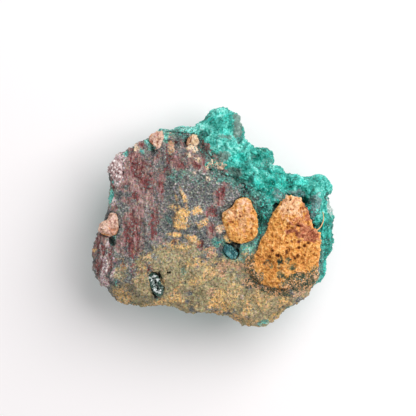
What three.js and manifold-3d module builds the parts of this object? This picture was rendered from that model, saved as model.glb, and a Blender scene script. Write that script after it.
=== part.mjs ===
// A dioptase and malachite specimen: a broken slab of copper ore, 84 mm wide, that has grown a lumpy green
// crust under it and along its far and right sides, with earthy limonite nodules set in its upper face.
// It lies on the crust. Millimetres; +X runs to the right across the face, +Y to its far side and +Z up.
// The origin is at the middle of the footprint, on the surface that the specimen rests on.
import * as THREE from "three";
import { ImprovedNoise } from "three/addons/math/ImprovedNoise.js";
import { mergeVertices } from "three/addons/utils/BufferGeometryUtils.js";
import Module from "manifold-3d";

const { degToRad, lerp, seededRandom, smoothstep } = THREE.MathUtils;
const wasm = await Module();
wasm.setup();

// ---- driving dimensions ----
const GAP = 0.3; // clearance between two pieces that touch
const FACE = 33.5; // height of the slab's upper face at its middle
const FACE_SLOPE = 0.05; // its rise towards +X
const FACE_FALL = { near: [-13, 0.14], left: [-29, 0.16] }; // where it starts to fall away, and how steeply
const FAR_FALL = { from: 22, to: 34, drop: 1.6 }; // its fall at the far right, measured along x + y
const UNDERSIDE = 12; // height of the slab's underside at its middle
const BOWL = 0.0028; // how the underside rises away from there, per square millimetre
const SLAB_WAIST = 22.5; // height at which the slab is widest
const BOX_CENTRE = [0.12, 0.23]; // middle of the finished footprint, in the outlines' own coordinates

// ---- outlines, seen from above, each a ring of [x, y] that runs counter-clockwise ----
const SLAB_RIM = [
  [35.9, -15.6], [36.2, -8.2], [34.4, -3], [33, 2.2], [29.4, 6.8], [25, 7.2], [19.6, 5.8], [14.2, 7.6],
  [9.6, 10.6], [4.6, 14.4], [0.6, 18.2], [-2.6, 23.4], [-5.2, 27], [-8, 28.6], [-12.8, 28.6], [-16.8, 27.9],
  [-21.3, 26.9], [-25, 23.8], [-28.7, 22.8], [-31.8, 19.8], [-35.4, 15.6], [-33.2, 12.2], [-34.6, 8.5],
  [-35, 3.7], [-35.2, -0.3], [-38.4, -3.1], [-39.4, -7.5], [-41.8, -10.9], [-42.3, -15.6], [-41, -20.1],
  [-38, -22.8], [-36.4, -26.4], [-34.6, -31.6], [-30.4, -31.8], [-25.3, -31.2], [-22.6, -30], [-17.8, -29.8],
  [-7.7, -32.9], [3.2, -33.2], [6.6, -35.3], [10.7, -36.9], [16.8, -37.7], [20.2, -36.7], [23.2, -33.2],
  [26.6, -31.3], [27.2, -29.2], [30.6, -27.4], [33.8, -25.2], [35.4, -22.6],
];
const LARGE_NODULE_RIM = [
  [36, -14.4], [36.2, -8.2], [35.9, -5], [33.6, -3.8], [32.6, -0.7], [31.9, 2.2], [30.4, 5.2], [27.8, 6.8],
  [24.7, 6.8], [22.4, 5.2], [21, 2.2], [19.2, -0.6], [18.2, -4.6], [16.2, -8], [14.8, -12.6], [12.2, -16.6],
  [12.6, -19.6], [15.2, -22.2], [18.8, -23.8], [22.6, -24.7], [28, -24], [32, -22.4], [34.8, -19],
];
const SMALL_NODULE_RIM = [
  [15.5, -4.1], [14.8, 1], [13.1, 3.1], [12.4, 5.8], [10.4, 6.5], [8, 5.4], [6.6, 2.7], [3.6, 1.7],
  [2.9, -0.3], [3.9, -3.1], [4.6, -5.4], [6, -8.2], [9.4, -9.2], [12.8, -8.5], [14.8, -6.8],
];
const LEFT_NODULE_RIM = [
  [-31.8, -3.1], [-32.1, 0], [-33.8, 1.7], [-34.9, 0.7], [-35.5, -1.4], [-37.6, -2.4], [-38.3, -4.4],
  [-36.9, -6.1], [-34.9, -6.8], [-32.1, -5.8],
];
const FAR_LEFT_NODULE_RIM = [
  [-17.9, 22], [-17.5, 24.4], [-16.9, 26.6], [-16.6, 29], [-19.4, 28.8], [-21.6, 27.6], [-21.9, 26.5],
  [-20.8, 25], [-19.6, 23.8], [-19.4, 22],
];
const TAN_NODULE_RIM = [
  [-4.9, 24.8], [-5.3, 27.7], [-7.3, 27.9], [-8.7, 25.8], [-9, 22.8], [-7.7, 21.4], [-6, 22.8],
];
const QUARTZ_RIM = [
  [-30.6, 14.6], [-30.8, 17.3], [-31.8, 20.1], [-33.8, 18.4], [-35.4, 15.6], [-33.5, 13.6], [-32.8, 11.2],
  [-31.1, 10.9],
];

// ---- the green crust: a coat on the slab, with lumps: [x, y, z, half-width, half-depth, half-height] ----
const COAT = {
  detail: 3, // how finely it is faceted
  towards: degToRad(30), // the side where it is thick, and laps highest
  thickness: [2.2, 4.4], // on its thin side and on its thick side
  lip: [21.5, 29], // the height that it laps up the slab on either side
  waver: 3, // how far its lip wanders up and down
  edge: 6, // the height over which it thins out below its lip
  inset: 1, // how far its thinned-out top lies inside the slab
};
const KNOB_LUMPS = [
  [3.3, 30.5, 20, 7, 7, 8.6],
  [7.5, 28.4, 16, 3.8, 5, 6],
  [-2.6, 29.8, 20, 3.8, 3.4, 6.4],
  [-9.4, 27.4, 20, 7.2, 3.4, 7.2],
  [-15.4, 27.2, 18.6, 4.4, 2.8, 7],
  [2.6, 23.6, 25.6, 7, 5.6, 7.2],
];
const SHOULDER_LUMPS = [
  [9.4, 21.2, 22, 6, 5.8, 7.4],
  [16.2, 19, 19, 5.4, 5.2, 7.4],
  [4.8, 17.6, 28.4, 4.8, 4.6, 5.4],
  [11.6, 14.4, 27.6, 5.6, 5, 6],
  [14.8, 9, 29.4, 4.4, 4, 4.6],
  [19.6, 12.8, 25.6, 6, 5, 6.2],
  [20.6, 7.6, 28.8, 4.2, 3.6, 4.8],
  [27, 10.2, 24.4, 5.6, 4.5, 6.6],
  [32.2, 8.9, 22.6, 5, 4.7, 6.6],
  [36.6, 9.7, 19.4, 4.8, 4.5, 7],
];
const RIGHT_LUMPS = [
  [35.8, 4.8, 23, 4.2, 4.6, 5.4],
  [37.4, -1, 19, 4.4, 7, 8],
  [36.5, -9, 21, 5, 6.4, 7.4],
  [34.4, -16.6, 18, 5, 7.4, 8],
];
const VALLEY_LUMPS = [
  [34.2, 0.6, 25.4, 3, 4.8, 5.4],
  [18.2, 3.6, 30.6, 4.2, 5.4, 3.8],
  [16.4, -3.4, 30.6, 3.2, 5.2, 3.2],
]; // beside the two large nodules
const BIG_LUMP = 7.5; // lumps wider than this have finer facets
const LUMP = { roughness: 0.09, grain: 5.5 }; // its unevenness: height for each mm of half-width, and size
const UNDER_LUMPS = {
  count: 10, // all over the underside
  middle: [1.6, -3.2],
  spread: [28, 23.5],
  radius: [8.6, 11],
  height: [7.4, 10.6], // of their middles, the outer ones higher
};

// ---- dioptase crystals, six-sided with pointed ends, standing in the hollows between the lumps ----
const CRYSTAL_BEDS = [
  // [x, y, half-width, half-depth, how many]
  [16, 12, 5.5, 5, 4],
  [25, 11, 6, 3, 3],
  [17.4, 2, 1.2, 7, 2],
  [4, 22, 4.5, 5, 2],
  [37.2, -5, 1.6, 11, 1],
];
const CRYSTAL_RADIUS = [0.8, 1.2];
const CRYSTAL_LENGTH = 2.4; // the part that stands out, times its radius

// ---- hollows in the slab's upper face: [x, y, half-width, half-length, depth, turn in degrees] ----
const VALLEY = [17.4, 0.8, 3.6, 9.6, 4.4, -14]; // between the two large nodules; the green crust fills it
const POCKETS = {
  // lined with small crystals
  vug: [-19.2, -23.1, 2.2, 4.8, 3.8, 22],
  teal_pocket: [6, -12, 2, 3.1, 2.4, 45],
};
const DRUSE = { wall: 0.9, spacing: 3.1, radius: 0.6, brim: 0.4 }; // a lining; brim: how far below the face
const PITS = [
  // bare
  [-20.6, 22, 0.9, 1.6, 1.8, -30],
  [-34.6, -8.4, 1, 1.6, 1.6, 0],
  [-15.2, -19.2, 0.9, 1.2, 1.4, 0],
];

// ---- rounded forms ----
// squareness: how boxy their section is; flatness: how much of the facets goes to the upper and lower faces;
// taper: how much narrower they are at the bottom; grain and roughness: size and height of their unevenness
const SIDE_SHARE = 0.3; // how much of the unevenness their sides have
const SLAB = { detail: 6, squareness: 6, flatness: 1.8, taper: 0.12, grain: 9, roughness: 1.5 };
const NODULE = { detail: 3, squareness: 3, flatness: 1.4, taper: 0.1, grain: 3.6, roughness: 0.7 };
const SMALL_NODULE = { ...NODULE, detail: 2 };
const NUB = { ...NODULE, detail: 1 };
// broken facets round the slab's rim
const CHIPS = { count: 11, jitter: [0, 0.6], bite: [0.6, 1.8], steepness: [30, 62] };

const LEAN = [-0.4, 0.4]; // how far a crystal may lean along x and y
const LIFT = [0, 0.4]; // how far those on the crust turn upwards
const OUTSIDE = 200; // larger than the specimen

const noise = new ImprovedNoise();
seededRandom(29);
const between = ([low, high]) => lerp(low, high, seededRandom());

// Gradient noise in two octaves at a point, about -1 to 1; its larger lumps are grain mm across.
function rough(point, grain) {
  const p = point.clone().divideScalar(grain);
  return noise.noise(p.x, p.y, p.z) + 0.5 * noise.noise(2.1 * p.x + 7, 2.1 * p.y, 2.1 * p.z + 3);
}

// Height of the slab's upper face: almost level, lower towards its edges.
function faceHeight(x, y) {
  const nearFall = FACE_FALL.near[1] * Math.max(0, FACE_FALL.near[0] - y);
  const leftFall = FACE_FALL.left[1] * Math.max(0, FACE_FALL.left[0] - x);
  const farFall = FAR_FALL.drop * smoothstep(x + y, FAR_FALL.from, FAR_FALL.to);
  return FACE + FACE_SLOPE * x - nearFall - leftFall - farFall;
}

const slabUnderside = (x, y) => UNDERSIDE + BOWL * (x * x + y * y);

// The middle of a ring of points.
function middleOf(ring) {
  const sum = ring.reduce((total, corner) => total.add(new THREE.Vector2(...corner)), new THREE.Vector2());
  return sum.divideScalar(ring.length);
}

// How far a ring reaches from its middle along a direction.
function reach(ring, middle, direction) {
  const crossings = ring.map((corner, i) => {
    const start = new THREE.Vector2(...corner).sub(middle);
    const edge = new THREE.Vector2(...ring[(i + 1) % ring.length]).sub(middle).sub(start);
    const slope = direction.cross(edge);
    const along = start.cross(direction) / slope;
    return along >= 0 && along <= 1 ? start.cross(edge) / slope : 0;
  });
  return Math.max(...crossings);
}

// Moves every corner of a mesh to shape(corner, index).
function reshaped(geometry, shape) {
  const corners = geometry.getAttribute("position");
  for (let i = 0; i < corners.count; i++) {
    corners.setXYZ(i, ...shape(new THREE.Vector3().fromBufferAttribute(corners, i), i));
  }
  return geometry;
}

// The geometry with only its corners kept, each held once.
function bare(geometry) {
  geometry.deleteAttribute("normal");
  geometry.deleteAttribute("uv");
  return mergeVertices(geometry, 1e-4);
}

// A rounded form that fills a ring seen from above. top and bottom are heights over a point, and waist is
// the height where it is widest.
function cushion(ring, form, { top, bottom, waist }) {
  const middle = middleOf(ring);
  return reshaped(bare(new THREE.IcosahedronGeometry(1, form.detail)), (direction) => {
    const level = new THREE.Vector2(direction.x, direction.y);
    const steep = Math.abs(direction.z) ** (1 / form.flatness);
    const size = (level.length() ** form.squareness + steep ** form.squareness) ** (-1 / form.squareness);
    const rise = Math.sign(direction.z) * steep * size;
    const narrowing = 1 - form.taper * Math.max(0, -rise) ** 1.5;
    const rim = reach(ring, middle, level.clone().normalize());
    const { x, y } = level.clone().multiplyScalar(size * narrowing * rim).add(middle);
    const point = new THREE.Vector3(x, y, lerp(waist, rise < 0 ? bottom(x, y) : top(x, y), Math.abs(rise)));
    const outward = new THREE.Vector3(...level, rise).normalize();
    const unevenness = form.roughness * lerp(SIDE_SHARE, 1, rise ** 2);
    return point.addScaledVector(outward, unevenness * rough(point, form.grain));
  });
}

// A rounded lump of the green crust, a little uneven.
function lump([x, y, z, width, depth, height]) {
  const ball = bare(new THREE.IcosahedronGeometry(1, width > BIG_LUMP ? 2 : 1));
  const size = new THREE.Vector3(width, depth, height);
  return reshaped(ball, (direction) => {
    const point = direction.clone().multiply(size).add(new THREE.Vector3(x, y, z));
    return point.addScaledVector(direction, LUMP.roughness * (width + depth) * rough(point, LUMP.grain));
  });
}

// The same mesh with every corner moved outwards, by thickness(corner, outward).
function grown(geometry, thickness) {
  const larger = geometry.clone();
  larger.computeVertexNormals();
  const normals = larger.getAttribute("normal");
  return reshaped(larger, (corner, i) => {
    const outward = new THREE.Vector3().fromBufferAttribute(normals, i);
    return corner.addScaledVector(outward, thickness(corner, outward));
  });
}

const clearOf = (geometry) => grown(geometry, () => GAP);

// ---- solids: manifold-3d joins and cuts ----
function solid(geometry) {
  const merged = bare(geometry.clone());
  return new wasm.Manifold(
    new wasm.Mesh({
      numProp: 3,
      vertProperties: merged.getAttribute("position").array,
      triVerts: new Uint32Array(merged.index.array),
    }),
  );
}

const joined = (solids) => solids.reduce((whole, next) => whole.add(next));

// The largest connected piece of a solid, without the crumbs that a cut leaves.
function largest(whole) {
  return whole.decompose().reduce((best, next) => (next.volume() > best.volume() ? next : best));
}

function meshOf(whole, name, color, roughness) {
  const { numProp, vertProperties, triVerts } = whole.getMesh();
  const corners = new Float32Array((vertProperties.length / numProp) * 3);
  for (let i = 0; i < corners.length / 3; i++) {
    corners.set(vertProperties.subarray(i * numProp, i * numProp + 3), i * 3);
  }
  const geometry = new THREE.BufferGeometry();
  geometry.setAttribute("position", new THREE.BufferAttribute(corners, 3));
  geometry.setIndex(new THREE.BufferAttribute(triVerts, 1));
  const material = new THREE.MeshStandardMaterial({ color, roughness, metalness: 0, flatShading: true });
  const mesh = new THREE.Mesh(geometry, material);
  mesh.name = name;
  return mesh;
}

// ---- the slab ----
// Broken facets round the slab's upper edge, each a slanting cut that goes `bite` mm below it.
function chipped(whole, { count, jitter, bite, steepness }) {
  const middle = middleOf(SLAB_RIM);
  return Array.from({ length: count }).reduce((rest, _, i) => {
    const angle = ((i + between(jitter)) / count) * 2 * Math.PI;
    const steep = degToRad(between(steepness));
    const level = new THREE.Vector2(Math.cos(angle), Math.sin(angle));
    const edge = level.clone().multiplyScalar(reach(SLAB_RIM, middle, level)).add(middle);
    const corner = new THREE.Vector3(edge.x, edge.y, faceHeight(edge.x, edge.y));
    const outward = new THREE.Vector3(...level.multiplyScalar(Math.cos(steep)), Math.sin(steep));
    const waste = new THREE.BoxGeometry(OUTSIDE, OUTSIDE, OUTSIDE).translate(0, 0, OUTSIDE / 2);
    waste.applyQuaternion(new THREE.Quaternion().setFromUnitVectors(UP, outward));
    return rest.subtract(solid(waste.translate(...corner.addScaledVector(outward, -between(bite)))));
  }, whole);
}

const UP = new THREE.Vector3(0, 0, 1);
const DOWN = new THREE.Vector3(0, 0, -1);
const slabLevels = { top: faceHeight, bottom: slabUnderside, waist: SLAB_WAIST };
const slabForm = cushion(SLAB_RIM, SLAB, slabLevels);
const brokenSlab = chipped(solid(slabForm), CHIPS);

// Where a line down from above meets a surface, or undefined where it misses.
function under(surface, x, y) {
  const line = new THREE.Raycaster(new THREE.Vector3(x, y, OUTSIDE), DOWN);
  return line.intersectObject(surface)[0];
}

const slabSurface = meshOf(brokenSlab, "slab", 0, 1);
const faceUnder = (x, y) => under(slabSurface, x, y).point.z;

// ---- the nodules: each stands rise mm out of the slab and goes depth mm into it ----
function nodule(ring, rise, depth, form) {
  const middle = middleOf(ring);
  const level = faceUnder(middle.x, middle.y);
  return cushion(ring, form, { top: () => level + rise, bottom: () => level - depth, waist: level });
}

const NODULES = {
  limonite_nodule_large: nodule(LARGE_NODULE_RIM, 3.2, 5, NODULE),
  limonite_nodule_small: nodule(SMALL_NODULE_RIM, 2, 4, SMALL_NODULE),
  limonite_nodule_left: nodule(LEFT_NODULE_RIM, 1.6, 3.4, NUB),
  limonite_nodule_far_left: nodule(FAR_LEFT_NODULE_RIM, 1, 3.4, NUB),
  limonite_nodule_far: nodule(TAN_NODULE_RIM, 1, 3, NUB),
  quartz_druse_left: nodule(QUARTZ_RIM, 1.2, 6, NUB),
};

// An oval hollow about a point of the face, smaller all round by an inset.
function hollow([x, y, width, length, depth, turn], inset = 0) {
  const oval = new THREE.IcosahedronGeometry(1, 1).scale(width - inset, length - inset, depth - inset);
  return oval.rotateZ(degToRad(turn)).translate(x, y, faceUnder(x, y));
}

const sockets = joined(Object.values(NODULES).map((geometry) => solid(clearOf(geometry))));
const hollows = joined([VALLEY, ...Object.values(POCKETS), ...PITS].map((oval) => solid(hollow(oval))));
const slab = largest(brokenSlab.subtract(sockets).subtract(hollows));

// ---- crystals ----
// One crystal, standing on a point along a direction and rooted as deep as it is thick.
function crystal(foot, direction, radius) {
  const tip = CRYSTAL_LENGTH * radius;
  const profile = [[0, -radius], [radius, -radius], [radius, 0.6 * tip], [0, tip]];
  const prism = new THREE.LatheGeometry(profile.map((corner) => new THREE.Vector2(...corner)), 6);
  const turn = new THREE.Quaternion().setFromUnitVectors(new THREE.Vector3(0, 1, 0), direction);
  return solid(prism.applyQuaternion(turn).translate(...foot));
}

// The lining of a pocket: a bowl with small crystals all over its inside.
function druse(pocket) {
  const [x, y, width, length, , turn] = pocket;
  const top = faceUnder(x, y) - DRUSE.brim;
  const above = new THREE.BoxGeometry(OUTSIDE, OUTSIDE, OUTSIDE).translate(x, y, top + OUTSIDE / 2);
  const inside = hollow(pocket, GAP + DRUSE.wall);
  const surface = new THREE.Mesh(inside, new THREE.MeshBasicMaterial({ side: THREE.BackSide }));
  const feet = [];
  for (let i = -width; i <= width; i += DRUSE.spacing) {
    for (let j = -length; j <= length; j += DRUSE.spacing) {
      const spot = new THREE.Vector2(i, j).rotateAround(new THREE.Vector2(), degToRad(turn));
      const hit = under(surface, x + spot.x, y + spot.y);
      if (hit) feet.push(hit);
    }
  }
  const stones = feet.map(({ point, face }) => {
    const lean = new THREE.Vector3(between(LEAN), between(LEAN), 0);
    return crystal(point, face.normal.clone().negate().add(lean).normalize(), DRUSE.radius);
  });
  const bowl = solid(hollow(pocket, GAP)).subtract(solid(inside));
  return largest(joined([bowl, ...stones]).subtract(solid(above)));
}

// ---- the green crust ----
// Thickness of the coat at a corner of the slab: it thins out to nothing at its upper edge.
function coatThickness(corner) {
  const side = smoothstep(Math.cos(Math.atan2(corner.y, corner.x) - COAT.towards), 0.1, 0.6);
  const lip = lerp(...COAT.lip, side) + COAT.waver * rough(corner, SLAB.grain);
  const over = smoothstep(corner.z, lip - COAT.edge, lip);
  return lerp(lerp(...COAT.thickness, side), -COAT.inset, over);
}

// Round lumps all over the underside, laid out in a sunflower spiral; the outer ones stand higher.
const underLumps = Array.from({ length: UNDER_LUMPS.count }, (_, i) => {
  const out = Math.sqrt((i + 0.5) / UNDER_LUMPS.count);
  const angle = i * Math.PI * (3 - Math.sqrt(5));
  const x = UNDER_LUMPS.middle[0] + UNDER_LUMPS.spread[0] * out * Math.cos(angle);
  const y = UNDER_LUMPS.middle[1] + UNDER_LUMPS.spread[1] * out * Math.sin(angle);
  const radius = between(UNDER_LUMPS.radius);
  return [x, y, lerp(...UNDER_LUMPS.height, out ** 3), radius, radius, radius];
});
const crustLumps = [...KNOB_LUMPS, ...SHOULDER_LUMPS, ...RIGHT_LUMPS, ...VALLEY_LUMPS, ...underLumps];
const floor = new THREE.BoxGeometry(OUTSIDE, OUTSIDE, OUTSIDE).translate(0, 0, -OUTSIDE / 2);
const slabRoom = solid(clearOf(slabForm)).subtract(solid(hollow(VALLEY, GAP)));
const bed = joined([slabRoom, sockets, solid(floor)]); // what the crust grows round
const coarseSlab = cushion(SLAB_RIM, { ...SLAB, detail: COAT.detail }, slabLevels);
const coat = solid(grown(coarseSlab, coatThickness));
const crustBody = largest(joined([coat, ...crustLumps.map((row) => solid(lump(row)))]).subtract(bed));

// Crystals stand where lines down from above meet the crust.
const crustSurface = meshOf(crustBody, "crust", 0, 1);
const crystals = CRYSTAL_BEDS.flatMap(([x, y, width, depth, count]) =>
  Array.from({ length: count }, () => {
    const hit = under(crustSurface, x + between([-width, width]), y + between([-depth, depth]));
    const lean = new THREE.Vector3(between(LEAN), between(LEAN), between(LIFT));
    if (!hit) return undefined;
    return crystal(hit.point, hit.face.normal.clone().add(lean).normalize(), between(CRYSTAL_RADIUS));
  }).filter(Boolean),
);
const crust = largest(crustBody.add(joined(crystals).subtract(bed)));

// ---- the specimen ----
const MALACHITE = 0x27a58b;
const ORE = 0x6d625c;
const LIMONITE = 0xc98a45;
const QUARTZ = 0xc9b5b2;
const DRUSE_GREEN = 0x1f5a50;

const specimen = new THREE.Group();
specimen.name = "dioptase_and_malachite_specimen";
specimen.add(meshOf(slab, "ore_matrix", ORE, 0.9));
specimen.add(meshOf(crust, "malachite_dioptase_crust", MALACHITE, 0.45));
for (const [name, geometry] of Object.entries(NODULES)) {
  const color = name.startsWith("quartz") ? QUARTZ : LIMONITE;
  specimen.add(meshOf(solid(geometry), name, color, 0.95));
}
for (const [name, pocket] of Object.entries(POCKETS)) {
  specimen.add(meshOf(druse(pocket), `${name}_druse`, DRUSE_GREEN, 0.4));
}
specimen.position.set(-BOX_CENTRE[0], -BOX_CENTRE[1], 0);

export default specimen;
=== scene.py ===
"""A dioptase and malachite specimen: a green crust that holds a slab of grey, olive and maroon ore, with
ochre limonite nodules, a quartz druse and two crystal-lined hollows. It lies on the crust, ore face up.

Lengths are in millimetres, in the frame's axes, until a mesh is made: MM turns them into metres. Only the
tables of stains are in pixels, as they were placed on the photograph.
"""

import itertools
import math

import bpy
import numpy as np
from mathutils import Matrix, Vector
from mathutils.bvhtree import BVHTree


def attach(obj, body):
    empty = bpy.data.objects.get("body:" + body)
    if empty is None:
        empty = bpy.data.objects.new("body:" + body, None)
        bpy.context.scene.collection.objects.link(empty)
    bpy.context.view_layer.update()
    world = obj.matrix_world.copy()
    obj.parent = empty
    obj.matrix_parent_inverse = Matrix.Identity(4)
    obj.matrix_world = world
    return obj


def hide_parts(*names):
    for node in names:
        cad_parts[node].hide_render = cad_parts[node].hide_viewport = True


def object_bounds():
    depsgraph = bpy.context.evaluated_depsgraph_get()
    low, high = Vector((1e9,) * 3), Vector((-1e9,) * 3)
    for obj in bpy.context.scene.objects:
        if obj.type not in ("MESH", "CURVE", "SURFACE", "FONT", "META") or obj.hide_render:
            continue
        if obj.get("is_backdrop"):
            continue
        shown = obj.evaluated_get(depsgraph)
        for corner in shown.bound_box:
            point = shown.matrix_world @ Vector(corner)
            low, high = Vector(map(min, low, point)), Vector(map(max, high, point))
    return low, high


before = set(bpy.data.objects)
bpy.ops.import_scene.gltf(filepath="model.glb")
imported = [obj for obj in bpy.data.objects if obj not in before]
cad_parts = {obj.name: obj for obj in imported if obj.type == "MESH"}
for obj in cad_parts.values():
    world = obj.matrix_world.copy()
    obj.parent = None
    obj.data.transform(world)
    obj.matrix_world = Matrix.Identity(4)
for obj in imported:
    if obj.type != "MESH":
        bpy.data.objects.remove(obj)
cad_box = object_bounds()
draw = np.random.default_rng(7)  # all that is left to chance, drawn in the same order each run

MM = 0.001
ORE_CELL, CRUST_CELL, LINING_CELL = 0.38, 0.46, 0.2  # how fine the meshes are
LOWEST = 0.02             # no grain or crystal goes below this height
ABOVE = 100               # a height above everything

# Heights between which stains fade in, so that they don't run down the sides.
TOP_BAND = (15, 21)       # the ore's face
RIM_BAND = (20.5, 24)     # its small stains
LIP_BAND = (23.5, 27)     # the green ones along its rim
SIDE_BAND = (9, 15)       # the crust, which is seen from above much further down
EDGE_BAND = (17, 21)      # its grey and pale patches
BAND_WANDER = 1.5         # how far these heights wander up and down
STAIN_EDGE = (0.55, 1.25)  # a stain fades out between these shares of its half width

# The photograph looks straight down on the face.
PIXEL = 0.34              # one of its pixels, in millimetres
ORIGIN = (212.5, 216)     # the pixel at the origin of the solids' outlines
BOX_CENTRE = (0.12, 0.23)  # the frame's origin, in millimetres from there
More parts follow.
